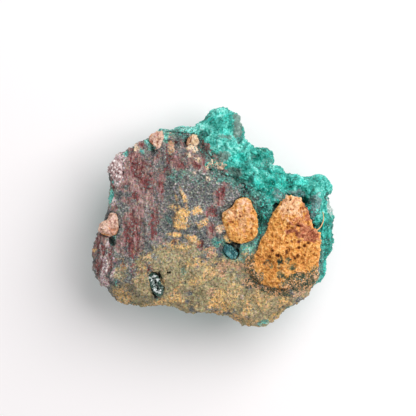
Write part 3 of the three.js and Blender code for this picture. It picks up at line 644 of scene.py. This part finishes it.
def crust_look():
    look = Look("malachite_and_dioptase")
    fine = look.noise(0.62)
    patch = look.noise(2.6, 3, shift=2.0)
    # Small cells, each lighter or darker and rougher or smoother: grain, with the lighter cells as painted
    # glints.
    grain_and_glint = look.grains(0.7)
    falling = look.noise(0.8, 3, (4.5, 1, 1.5), 1.0, turn=-36)
    rising = look.noise(0.8, 3, (4.5, 1, 1.5), 4.0, turn=42)
    upright = look.noise(0.8, 3, (1, 4, 3), 8.0)
    streak = look.range(look.edge(look.kept("rising"), patch), 0, 1, falling, rising)
    streak = look.range(look.edge(look.kept("upright"), patch), 0, 1, streak, upright)
    value = look.plus(look.plus(look.kept("tone"), fine, 0.5), patch, 0.2)
    # The crust is painted darker in the hollows of its relief and lighter on its tops (high), as shade and
    # light.
    value = look.plus(look.plus(value, grain_and_glint, 0.36), look.kept("high"), 0.6)
    tone = look.range(look.plus(value, streak, 0.65), 0.98, 2.46)
    colour = look.ramp(
        tone, (0, 0, 54, 48), (0.2, 0, 102, 90), (0.4, 14, 150, 136), (0.6, 76, 190, 176),
        (0.8, 128, 220, 208), (1, 184, 246, 236),
    )
    for name, value, edge, *stops in (
        ("teal", tone, (patch,), (0, 0, 56, 50), (0.25, 0, 104, 92), (0.6, 0, 160, 144), (0.85, 44, 204, 190),
         (1, 140, 240, 228)),
        ("hollow", tone, (fine,), (0, 34, 66, 68), (0.35, 78, 116, 116), (0.6, 118, 154, 150),
         (1, 186, 214, 208)),
        ("bright", tone, (fine,), (0, 0, 110, 98), (0.3, 8, 168, 152), (0.6, 70, 214, 200),
         (1, 176, 248, 240)),
        ("grey", tone, (fine,), (0, 52, 72, 68), (0.4, 96, 122, 114), (0.7, 118, 150, 140),
         (1, 166, 192, 184)),
        ("dark", tone, (fine,), (0, 6, 30, 32), (0.5, 30, 74, 74), (1, 86, 150, 142)),
        ("pale", fine, (fine,), (0, 138, 152, 148), (0.6, 182, 194, 190), (1, 224, 232, 230)),
        ("maroon", tone, (fine, 0.25, 1.2), (0, 62, 26, 28), (0.4, 116, 78, 78), (0.7, 146, 112, 108),
         (1, 190, 160, 152)),
        ("tan", tone, (fine, 0.2, 0.8), (0, 96, 72, 56), (0.4, 184, 156, 130), (0.7, 228, 200, 172),
         (1, 250, 232, 208)),
    ):
        colour = look.over(colour, name, value, stops, *edge)
    dull = look.range(look.noise(3.5, 3, shift=6.0), 0.55, 0.95, 0, 0.2)
    colour = look.mix(dull, colour, look.ramp(tone, (0, 40, 66, 52), (0.5, 96, 146, 118), (1, 156, 200, 176)))
    colour = look.tinted(colour, size=0.8, strength=0.1)
    return look.done(colour, look.range(grain_and_glint, 0, 1, 0.3, 0.7), fine, depth=0.2)


def limonite_look():
    look = Look("limonite")
    fine = look.noise(0.5)
    worm = look.noise(1.2, 3, shift=4.0)
    # The nodules are painted darker in the pits and crevices of their relief and lighter on its tops (high),
    # as shade and highlight.
    value = look.plus(look.plus(look.kept("high"), fine, 0.6), worm, 0.35)
    tone = look.range(value, 0.28, 1.7)
    colour = look.ramp(
        tone, (0, 44, 20, 10), (0.2, 118, 64, 24), (0.4, 194, 124, 48), (0.65, 232, 164, 84),
        (1, 255, 208, 140),
    )
    for name, edge, *stops in (
        ("cream", (worm,), (0, 84, 40, 24), (0.25, 164, 102, 64), (0.5, 216, 158, 112), (0.75, 240, 194, 148),
         (1, 255, 228, 194)),
        ("pink", (worm,), (0, 88, 42, 36), (0.25, 160, 112, 96), (0.5, 204, 162, 142), (0.75, 230, 194, 174),
         (1, 255, 230, 214)),
        ("tan", (worm,), (0, 60, 38, 28), (0.25, 150, 112, 84), (0.45, 198, 164, 130), (0.7, 230, 198, 162),
         (1, 255, 236, 208)),
        ("red", (worm,), (0, 38, 8, 6), (0.3, 108, 44, 26), (0.6, 172, 96, 60), (1, 240, 174, 130)),
        ("brown", (worm,), (0, 24, 12, 6), (0.25, 92, 50, 20), (0.5, 172, 106, 40), (0.8, 226, 158, 74),
         (1, 252, 204, 126)),
        ("green", (fine, 0.15, 1.3), (0, 12, 28, 24), (0.42, 46, 72, 58), (0.66, 110, 106, 70),
         (0.84, 206, 152, 92), (1, 240, 190, 136)),
    ):
        colour = look.over(colour, name, tone, stops, *edge)
    colour = look.tinted(colour, size=0.9, strength=0.2)
    return look.done(colour, look.range(fine, 0, 1, 0.9, 0.6), fine, depth=0.25)


def crystal_look(name, *stops, **fixed):
    look = Look(name, **fixed)
    fine = look.noise(0.8)
    tone = look.plus(look.math("MULTIPLY", look.kept("tone"), 0.75), fine, 0.25)
    colour = look.ramp(tone, *stops)
    return look.done(colour, look.range(fine, 0, 1, 0.15, 0.4), fine, depth=0.04)


# --- Pieces ---

def closing(gap):
    """How far a surface swells where it lies `gap` from its neighbour, so that the two meet."""
    return (gap / 2 + 0.05) * (1 - fade(0.9, 2.2, gap))


def crumbled(p):
    """How far the ore and the large nodule break up into crumbs at each point, 0 to 1."""
    return stain(p, CRUMBS, 0.4, 850)


def ore_piece(material):
    """The slab. Each part of its relief is a number from about -1 to 1 times its height in millimetres."""
    mesh, p, n = fine_copy("ore_matrix", ORE_CELL)
    masks = {
        name: stain(p, places, 0.6 if name in BROKEN else 0.5, k * 10, ORE_BANDS.get(name, TOP_BAND))
        for k, (name, places) in enumerate(ORE_STAINS.items())
    }
    gap = gap_to(crust_tree, p)
    top = fade(*TOP_BAND, p[:, 2])
    masks["teal"] = np.maximum(masks["teal"], 0.55 * (1 - fade(0.8, 4.5, gap)) * top)
    near = gap_to(nodule_tree, p)
    crumbs = crumbled(p)
    # rim: a band of ore along the nodules, away from the crumbs. It is grooved and painted darker there, as
    # shade.
    rim = (1 - fade(0.4, 1.6, near)) * fade(-0.3, 0.5, noise(p, 2.2, 17)) * (1 - crumbs)
    masks["ochre"] = np.maximum(masks["ochre"], 0.6 * (1 - fade(0.5, 2.6, near)) * crumbs)
    slant = np.stack([p[:, 0] - 0.8 * p[:, 1], 0.3 * (0.8 * p[:, 0] + p[:, 1]), p[:, 2]], axis=1)
    veins = fade(0.1, 0.7, rough(slant, 2.6, 3, 23))
    masks["ochre"] = np.maximum(masks["ochre"], 0.58 * masks["olive"] * veins)
    streaked = p * (1, 0.3, 1)
    lines = 0.75 * masks["maroon"] * fade(0.05, 0.6, rough(streaked, 1.7, 3, 21))
    masks["deep"] = np.maximum(masks["deep"], lines)
    masks["maroon"] = masks["maroon"] * (1 - 0.55 * fade(0.1, 0.6, rough(streaked, 3.2, 3, 25)))
    _, level = cells(p + 0.8 * noise(p, 2.2, 3)[:, None], 3.4, 60)
    grain, step = cells(p, 1.15, 80)
    swell = 0.75 * rough(p, 7, 2, 5)
    small = 0.55 * (level - 0.5) + 0.35 * (step - 0.5) + 0.3 * (0.4 - grain) + 0.2 * noise(p, 0.8, 12)
    small += 0.5 * masks["maroon"] * rough(streaked, 1.6, 2, 9)
    small += (
        0.5 * masks["cream"] + 0.45 * masks["ochre"] - 1.0 * masks["dark"] - 0.5 * masks["deep"] - 0.3 * rim
        + 0.5 * masks["white"]
    )
    seam = 1 - fade(0.35, 1.5, gap)
    relief = (swell + small) * (1 - seam) + closing(gap)
    moved = p + n * relief[:, None]
    moved[:, 2] += sum(stain(p, [place], 0.2, 900) for place in ORE_LIFTS)
    move(mesh, moved)
    # Painted shade: the ore is darker along the nodules' rims, where they shade it.
    masks["dark"] = np.maximum(masks["dark"], 0.6 * rim)
    # high carries the relief into the material, which paints shade in its hollows and light on its bumps.
    keep(mesh, high=np.clip(0.5 + 0.65 * small, 0, 1), **masks)
    return shown(mesh, "ore_body", "ore_matrix", material)


def crust_piece(material):
    """The crust: domes, beads and facets, with creases and cracks between them."""
    mesh, p, n = fine_copy("malachite_dioptase_crust", CRUST_CELL)
    masks = {
        name: stain(p, places, salt=200 + k * 10, band=EDGE_BAND if name in ("grey", "pale") else SIDE_BAND)
        for k, (name, places) in enumerate(CRUST_STAINS.items())
    }
    gap = gap_to(ore_tree, p)
    seam = 1 - fade(0.35, 1.3, gap)
    bent = p + 0.8 * np.stack([rough(p, 3.6, 2, 3 + k) for k in range(3)], axis=1)
    dome, _ = cells(bent, 5.0, 120)
    bead, which = cells(bent, 2.1, 140)
    facet, step = cells(p, 1.1, 150)
    crease = -np.clip(1 - 3.2 * np.abs(rough(bent, 5.5, 2, 29)), 0, 1)
    crack = -np.clip(1 - 4.5 * np.abs(rough(bent, 3.0, 2, 37)), 0, 1)
    wrinkle = 1 - 2.4 * np.abs(noise(bent, 1.35, 30))
    small = 0.7 * (0.42 - dome) + 0.3 * (0.42 - bead) + 0.5 * crease + 0.35 * crack + 0.2 * wrinkle
    small += 0.42 * (step - 0.5) + 0.38 * (0.42 - facet)
    relief = (small - 0.1 - 0.5 * masks["dark"]) * (1 - seam) + closing(gap) + 1.4 * masks["hollow"]
    move(mesh, p + n * relief[:, None])
    tone = 0.62 + 0.24 * rough(p, 6.5, 3, 33) + 0.16 * (which - 0.5)
    # The crust is painted darker in its crevices, as shade.
    tone += 0.4 * masks.pop("mint") - 0.25 * masks["dark"] - 0.25 * masks.pop("deep")
    edge = (1 - fade(0.8, 4.0, gap)) * fade(*TOP_BAND, p[:, 2])
    masks["grey"] = np.maximum(masks["grey"], 0.62 * edge)
    # high carries the relief into the material, which paints shade in its hollows and light on its tops.
    keep(mesh, high=np.clip(0.5 + 0.65 * small, 0, 1), tone=np.clip(tone, 0, 1.2), **masks)
    return shown(mesh, "crust_body", "malachite_dioptase_crust", material)


# Each nodule: the cell of its mesh, and how deep its relief is.
NODULES = {
    "limonite_nodule_large": (0.26, 1.0),
    "limonite_nodule_small": (0.22, 0.7),
    "limonite_nodule_left": (0.2, 0.9),
    "limonite_nodule_far_left": (0.2, 0.6),
    "limonite_nodule_far": (0.2, 0.6),
}


def nodule_piece(node, cell, depth, material):
    """A nodule: a sponge of pits and pores, with steps and crumbs."""
    mesh, p, n = fine_copy(node, cell)
    masks = {
        name: stain(p, places, 0.7, 400 + k * 10, size=1.3)
        for k, (name, places) in enumerate(LIMONITE_STAINS.items())
    }
    seam = 1 - fade(0.4, 1.2, gap_to(ore_tree, p))
    bent = p + 0.4 * np.stack([noise(p, 1.6, 41 + k) for k in range(3)], axis=1)
    pit, _ = cells(bent, 1.25, 160)
    pore, _ = cells(bent, 0.7, 180)
    _, level = cells(bent, 1.3, 170)
    crumb, _ = cells(bent, 0.95, 190)
    worm = 1 - np.abs(noise(bent, 1.1, 44)) * 2.2
    sponge = 0.4 * (fade(0.15, 0.6, pit) - 0.7) + 0.45 * (fade(0.1, 0.5, pore) - 0.7) + 0.25 * worm
    small = 0.7 * sponge + 0.4 * (level - 0.5) + 0.5 * (0.45 - crumb)
    small = small - 0.8 * masks.pop("pit") - 0.3 * masks["green"]
    relief = small + 0.6 * rough(p, 4.2, 3, 47) - 0.15
    move(mesh, p + n * (depth * relief * (1 - seam) + 0.25 * seam)[:, None])
    # high carries the relief into the material, which paints shade in its pits and highlights on its tops.
    keep(mesh, high=np.clip(0.6 + 0.8 * (small + 0.3 * masks["green"]), 0, 1), **masks)
    shown(mesh, node + "_body", node, material)


def lining(node, material):
    """The wall of a pocket, or the rock under a druse, roughened."""
    mesh, p, n = fine_copy(node, LINING_CELL)
    seam = 1 - fade(0.4, 1.0, gap_to(ore_tree, p))
    relief = (0.3 * rough(p, 1.8, 3, 71) - 0.1) * (1 - seam) + 0.25 * seam
    move(mesh, p + n * relief[:, None])
    keep(mesh, tone=np.clip(0.5 + 0.5 * rough(p, 1.6, 2, 73), 0, 1))
    shown(mesh, node + "_lining", node, material)


def prism(sides, taper, tip):
    """A crystal one wide and one tall from its middle: a prism with a three-faced point. Points and faces."""
    ring = [(math.cos(math.tau * k / sides) / 2, math.sin(math.tau * k / sides) / 2) for k in range(sides)]
    foot = [(x, y, -0.5) for x, y in ring]
    shoulder = [(x * taper, y * taper, 0.5 - tip * (1 if k % 2 else 0.55)) for k, (x, y) in enumerate(ring)]
    points = np.array([*foot, *shoulder, (0, 0, 0.5)])
    walls = [(k, (k + 1) % sides, sides + (k + 1) % sides, sides + k) for k in range(sides)]
    cap = [(sides + k, sides + (k + 1) % sides, 2 * sides) for k in range(sides)]
    return points, [*walls, *cap, tuple(reversed(range(sides)))]


def crystals(name, material, place, way, size, length, lean):
    """Many small crystals in one mesh, each standing on its place and leaning by chance."""
    count = len(place)
    way = unit(way + lean * draw.normal(size=(count, 3)))
    points, faces = prism(sides=6, taper=0.92, tip=0.34)
    scale = np.stack([size, size * draw.uniform(0.8, 1.2, count), size * length], axis=1)
    sunk = place + way * (size * length * draw.uniform(-0.3, 0.12, count))[:, None]
    copies(name, material, points, faces, sunk, way, scale)


def grains(name, material, place, way, size):
    """Many small angular grains in one mesh."""
    count = len(place)
    points = np.array([(1, 0, 0), (-1, 0, 0), (0, 1, 0), (0, -1, 0), (0, 0, 1), (0, 0, -1)]) / 2
    faces = [(0, 2, 4), (2, 1, 4), (1, 3, 4), (3, 0, 4), (2, 0, 5), (1, 2, 5), (3, 1, 5), (0, 3, 5)]
    uneven = points + draw.uniform(-0.16, 0.16, (count, 6, 3))
    facing = unit(draw.normal(size=(count, 3)))
    scale = size[:, None] * draw.uniform(0.7, 1.4, (count, 3))
    sunk = place - way * (size * 0.1)[:, None]
    copies(name, material, uneven, faces, sunk, facing, scale)


def drop(tree, x, y):
    """The height at which a line down from above meets a surface; 0 where it misses."""
    spot = tree.ray_cast(Vector((x, y, ABOVE)), Vector((0, 0, -1)))[0]
    return spot.z if spot else 0.0


def strand(name, material, track, radius, sides=6, steps=18, clear=0.15, root=0.7):
    """A thin hair along a track of [x, y] points. It stays `clear` of what is under it, and its ends go
    `root` deep into the surface."""
    turns = np.linspace(0, len(track) - 1, steps)
    xy = np.stack([np.interp(turns, range(len(track)), line) for line in zip(*track)], axis=1)
    xy[1:-1] = (xy[:-2] + 2 * xy[1:-1] + xy[2:]) / 4
    under = np.array([max(drop(tree, x, y) for tree in (crust_tree, ore_tree, nodule_tree)) for x, y in xy])
    high = np.maximum(under + clear, np.linspace(under[0], under[-1], steps))
    high[[0, -1]] -= root
    middle = np.column_stack([xy, high])
    side, other, _ = turned(unit(np.gradient(middle, axis=0)), np.zeros(steps))
    angle = np.arange(sides) * math.tau / sides
    thick = radius * (1.1 - 0.5 * np.linspace(0, 1, steps))[:, None, None]
    out = np.cos(angle)[:, None] * side[:, None] + np.sin(angle)[:, None] * other[:, None]
    ring = middle[:, None] + thick * out
    faces = [
        (a * sides + k, a * sides + (k + 1) % sides, (a + 1) * sides + (k + 1) % sides, (a + 1) * sides + k)
        for a in range(steps - 1) for k in range(sides)
    ]
    faces += [tuple(reversed(range(sides))), tuple(range((steps - 1) * sides, steps * sides))]
    mesh = bpy.data.meshes.new(name)
    mesh.from_pydata((ring.reshape(-1, 3) * MM).tolist(), [], faces)
    keep(mesh, tone=np.full(steps * sides, 0.8))
    shown(mesh, name, None, material, smooth=True)


# Where crystals and grains grow: each of these gives weights to faces, from their middles and normals.

def open_crust(middle, way):
    """1 where the crust is open to the air, 0 where it faces the ore."""
    reach = 3.0
    rays = zip(middle.tolist(), way.tolist())
    return np.array([ore_tree.ray_cast(Vector(m), Vector(w), reach)[0] is None for m, w in rays], dtype=float)


def on_top(middle, way):
    rich = sum(stain(middle, CRUST_STAINS[name], band=SIDE_BAND) for name in ("teal", "dark", "hollow"))
    return open_crust(middle, way) * (0.04 + rich) * fade(*SIDE_BAND, middle[:, 2])


def below(middle, way):
    clear_of_floor = middle[:, 2] > 0.6
    return open_crust(middle, way) * (1 - fade(*SIDE_BAND, middle[:, 2])) * clear_of_floor


def face_up(middle, way):
    return fade(0.2, 0.6, way[:, 2]) * fade(*TOP_BAND, middle[:, 2])


def olive(middle, way):
    return face_up(middle, way) * stain(middle, ORE_STAINS["olive"])


def not_olive(middle, way):
    return face_up(middle, way) * (1 - stain(middle, ORE_STAINS["olive"]))


def crumbly(middle, way):
    return face_up(middle, way) * crumbled(middle)


def along(tree, near, far):
    """A weight for the upper faces that lie within `far` of the surface in a tree, full up to `near`."""
    return lambda middle, way: face_up(middle, way) * (1 - fade(near, far, gap_to(tree, middle)))


def greenish(middle, way):
    """The same for the ore's margin, but low where it is maroon."""
    return along(crust_tree, 0.5, 4.0)(middle, way) * (1 - 0.9 * stain(middle, ORE_STAINS["maroon"]))


ore_tree = tree_of("ore_matrix")
crust_tree = tree_of("malachite_dioptase_crust")
nodule_tree = tree_of(*NODULES)
ore = ore_piece(ore_look())
crust = crust_piece(crust_look())
limonite = limonite_look()
for node, (cell, depth) in NODULES.items():
    nodule_piece(node, cell, depth, limonite)

dioptase = crystal_look(
    "dioptase", (0, 4, 104, 90), (0.35, 22, 160, 144), (0.7, 70, 206, 190), (1, 164, 244, 232),
    IOR=1.66, Transmission_Weight=0.15,
)
for name, count, weight, least, most in (
    ("dioptase_top", 1500, on_top, 0.25, 0.65),
    ("dioptase_sides", 7500, below, 0.35, 0.85),
):
    place, way = scattered(crust.data, count, weight)
    sizes = draw.uniform(least, most, count)
    crystals(name, dioptase, place, way, sizes, length=1.2, lean=0.5)

quartz = crystal_look(
    "quartz", (0, 96, 56, 60), (0.35, 168, 134, 132), (0.65, 222, 206, 204), (1, 255, 252, 250), IOR=1.54
)
vug_wall = crystal_look("vug_wall", (0, 8, 26, 22), (0.5, 30, 62, 52), (1, 84, 112, 98))
vug_crystal = crystal_look(
    "vug_crystal", (0, 8, 40, 34), (0.4, 40, 84, 72), (0.52, 140, 154, 146), (0.66, 208, 216, 214),
    (1, 250, 252, 252), IOR=1.6,
)
pocket_wall = crystal_look(
    "pocket_wall", (0, 10, 44, 50), (0.35, 44, 104, 110), (0.65, 84, 148, 150), (1, 150, 204, 200), IOR=1.6
)
# Each lined hollow or lobe: its slot, its wall, its crystals, and how many and how large they are.
LINED = {
    "quartz_druse_left": ("quartz", quartz, quartz, 420, 0.9),
    "vug_druse": ("dioptase_druse", vug_wall, vug_crystal, 150, 0.8),
    "teal_pocket_druse": ("dioptase_druse", pocket_wall, pocket_wall, 160, 0.7),
}
for node, (slot, wall, *_) in LINED.items():
    lining(node, wall)
for node, (slot, _, look, count, size) in LINED.items():
    place, way = scattered(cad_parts[node].data, count)
    sizes = size * draw.uniform(0.5, 1.2, count)
    crystals(node + "_crystals", look, place, way, sizes, length=1.7, lean=0.35)

grey_grain = crystal_look(
    "grey_grain", (0, 26, 32, 34), (0.3, 82, 88, 88), (0.55, 112, 116, 112), (0.8, 152, 154, 148),
    (1, 226, 226, 222),
)
olive_grain = crystal_look(
    "olive_grain", (0, 64, 66, 50), (0.3, 118, 112, 88), (0.55, 150, 138, 106), (0.8, 188, 158, 116),
    (1, 214, 194, 160),
)
ochre_grain = crystal_look(
    "ochre_grain", (0, 44, 44, 28), (0.3, 122, 84, 44), (0.6, 204, 148, 88), (1, 244, 200, 150)
)
margin_grain = crystal_look(
    "margin_grain", (0, 24, 50, 42), (0.34, 74, 92, 74), (0.48, 128, 120, 88), (0.62, 212, 160, 104),
    (0.85, 238, 192, 154), (1, 250, 220, 190),
)
seam_grain = crystal_look(
    "seam_grain", (0, 34, 48, 46), (0.3, 72, 96, 90), (0.6, 74, 150, 138), (0.85, 120, 196, 184),
    (1, 176, 220, 210),
)
strand("strand", ochre_grain, STRAND, radius=0.22)

large = bpy.data.objects["limonite_nodule_large_body"]
# Each field of grains: its slot, look and carrier, how many, where, and the least and the greatest size.
for name, slot, look, carrier, count, weight, least, most in (
    ("ore_grains", "ore", grey_grain, ore, 3500, not_olive, 0.25, 0.65),
    ("olive_grains", "ore", olive_grain, ore, 4000, olive, 0.25, 0.65),
    ("margin_grains", "limonite", margin_grain, ore, 1800, crumbly, 0.4, 1.0),
    ("nodule_grains", "limonite", margin_grain, large, 900, crumbly, 0.4, 0.9),
    ("seam_grains", "malachite_dioptase", seam_grain, ore, 1500, greenish, 0.3, 0.8),
    ("crust_seam_grains", "malachite_dioptase", seam_grain, crust, 1500, along(ore_tree, 0.5, 4.0), 0.3, 0.8),
    ("seam_rubble", "malachite_dioptase", seam_grain, crust, 1300, along(ore_tree, 0.4, 1.1), 0.6, 1.2),
    ("ore_rubble", "ore", grey_grain, ore, 800, along(crust_tree, 0.4, 1.1), 0.6, 1.1),
):
    place, way = scattered(carrier.data, count, weight)
    grains(name, look, place, way, draw.uniform(least, most, count))


# --- Stage ---

def stage():
    """The floor, the sky, the lamp and the camera."""
    half = FLOOR["size"] * MM / 2
    mesh = bpy.data.meshes.new("floor")
    corners = [(-half, -half, 0), (half, -half, 0), (half, half, 0), (-half, half, 0)]
    mesh.from_pydata(corners, [], [(0, 1, 2, 3)])
    floor = linked("floor", mesh)
    paper = Look("paper", Base_Color=srgb(*FLOOR["colour"]), Roughness=0.9)
    mesh.materials.append(paper.material)
    floor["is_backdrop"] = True

    world = bpy.data.worlds.new("studio")
    world.use_nodes = True
    sky = world.node_tree.nodes["Background"].inputs
    sky["Color"].default_value = (1, 1, 1, 1)
    sky["Strength"].default_value = SKY
    bpy.context.scene.world = world

    lamp = bpy.data.lights.new("key", "AREA")
    lamp.size = KEY["size"] * MM
    lamp.energy = KEY["power"]
    key = linked("key", lamp)
    key.location = Vector(KEY["place"]) * MM
    key.rotation_euler = (-key.location).to_track_quat("-Z", "Y").to_euler()

    lens = bpy.data.cameras.new("camera")
    lens.lens = CAMERA["lens"]
    lens.sensor_width = CAMERA["sensor"]
    lens.clip_start, lens.clip_end = 0.01, 10
    camera = linked("camera", lens)
    camera.location = Vector(CAMERA["place"]) * MM
    bpy.context.scene.camera = camera
    bpy.context.scene.view_settings.view_transform = "Standard"


stage()
sizes = {"cad": [list(corner) for corner in cad_box], "visual": [list(corner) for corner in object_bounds()]}
